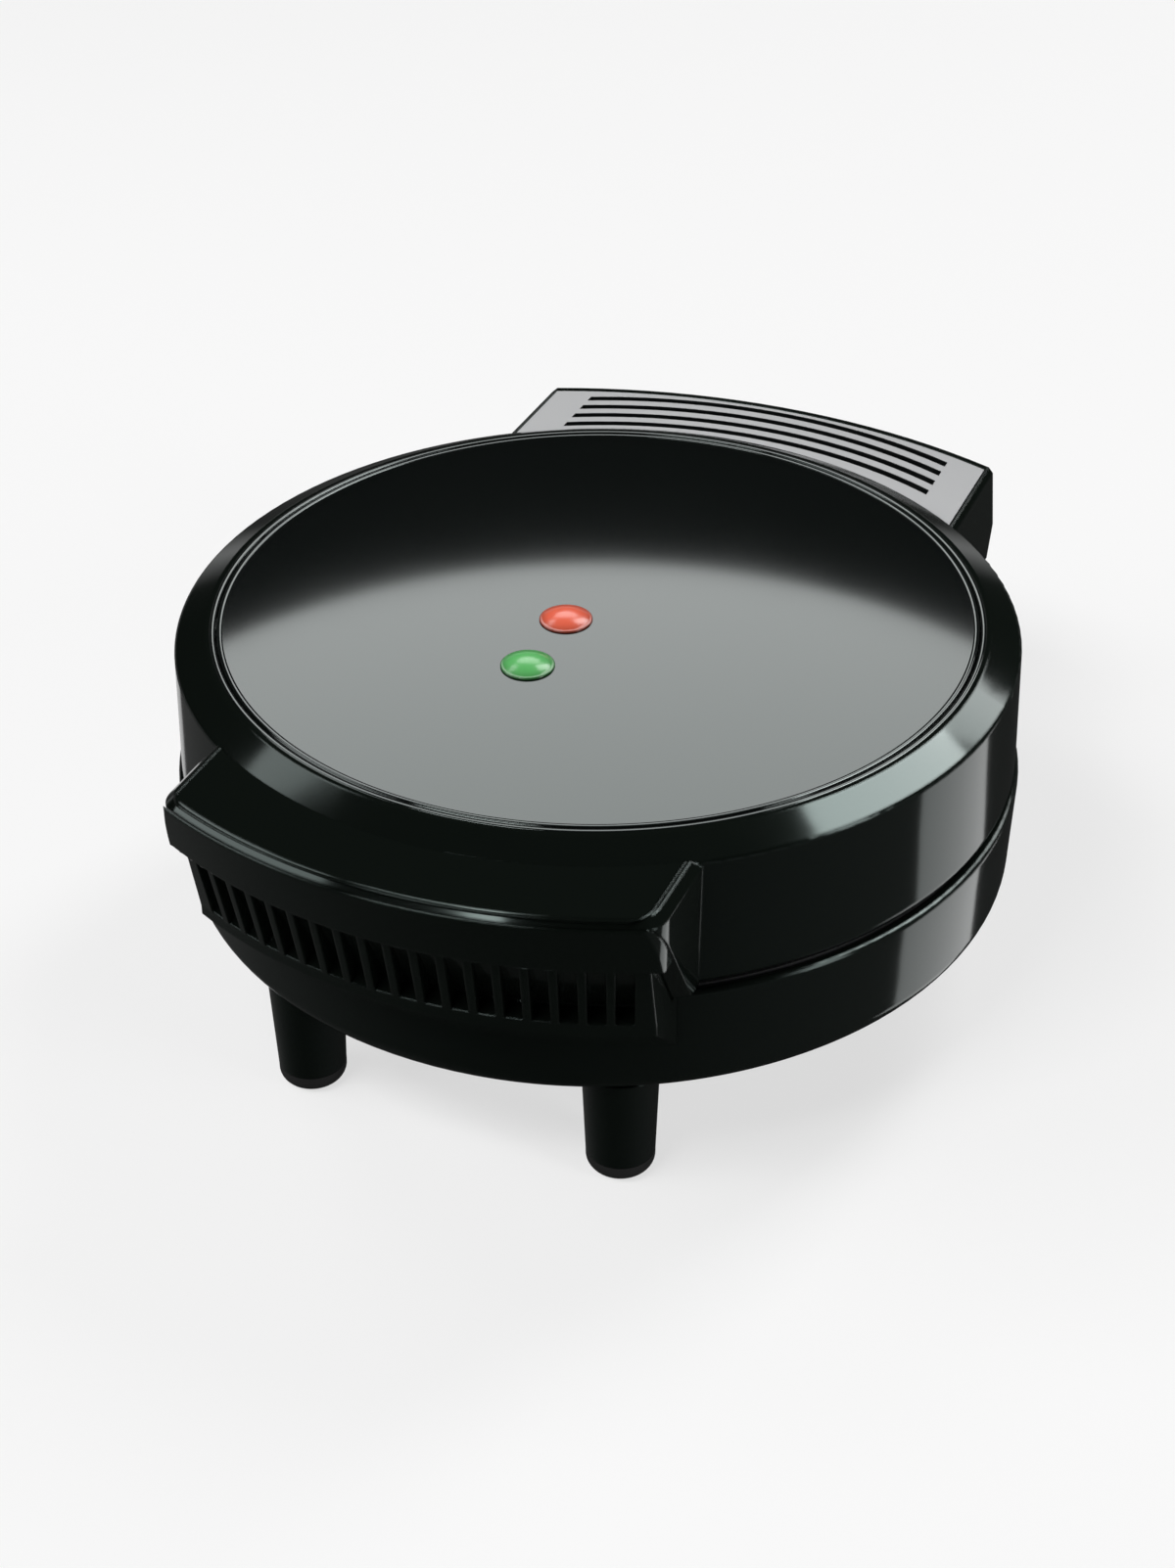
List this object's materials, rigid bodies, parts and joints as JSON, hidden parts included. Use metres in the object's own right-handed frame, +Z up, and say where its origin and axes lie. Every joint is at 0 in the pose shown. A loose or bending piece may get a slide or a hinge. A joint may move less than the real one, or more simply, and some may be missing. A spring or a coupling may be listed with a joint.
{
  "type": "omelette maker",
  "caption": "Round countertop omelette maker with a rear-hinged lid, half-moon cooking pockets, ribbed front handle, lamps and tall feet.",
  "frame": {"origin": "on the table, at the middle of the object's footprint", "axes": "+Z up from the table, -Y towards the handle and the user, +Y towards the hinge, +X to the user's right"},
  "size_m": [0.2144, 0.2641, 0.1009],
  "materials": {
    "black_gloss": "polished black moulded plastic",
    "black_disc": "mirror-gloss black disc",
    "lens_red": "translucent red",
    "lens_green": "translucent green",
    "inner_plastic": "heat-resistant moulding",
    "lamp_glass": "clear",
    "silver_panel": "satin silver-grey",
    "non_stick": "cast aluminium with a dark non-stick coat",
    "element_steel": "dull heated tube",
    "steel": "zinc-plated",
    "sheet_aluminium": "mill finish",
    "terminal_plastic": "natural",
    "gland_plastic": "black",
    "foot_rubber": "black rubber"
  },
  "bodies": {
    "base": {"base_shell": "black_gloss", "lower_handle": "black_gloss", "lower_plate": "non_stick", "lower_element": "element_steel", "lower_element_straps": "steel", "lower_reflector": "sheet_aluminium", "lower_plate_screws": "steel", "thermostat": "inner_plastic", "thermal_fuse": "sheet_aluminium", "terminal_block": "terminal_plastic", "cord_gland": "gland_plastic", "hinge_pins": "steel", "foot_front_left": "black_gloss", "foot_front_right": "black_gloss", "foot_rear_left": "black_gloss", "foot_rear_right": "black_gloss", "foot_tips": "foot_rubber", "foot_screws": "steel"},
    "lid": {"lid_shell": "black_gloss", "lid_disc": "black_disc", "lens_red": "lens_red", "lens_green": "lens_green", "lamp_sockets": "inner_plastic", "lamp_bulbs": "lamp_glass", "vent_panel": "silver_panel", "upper_plate": "non_stick", "upper_element": "element_steel", "upper_element_straps": "steel", "upper_reflector": "sheet_aluminium", "upper_plate_screws": "steel"}
  },
  "joints": [
    {"name": "lid_hinge", "type": "hinge", "parent": "base", "child": "lid", "pos_m": [0, 0.11084, 0.0606], "axis": [-1, 0, 0], "range_deg": [0, 103]}
  ]
}
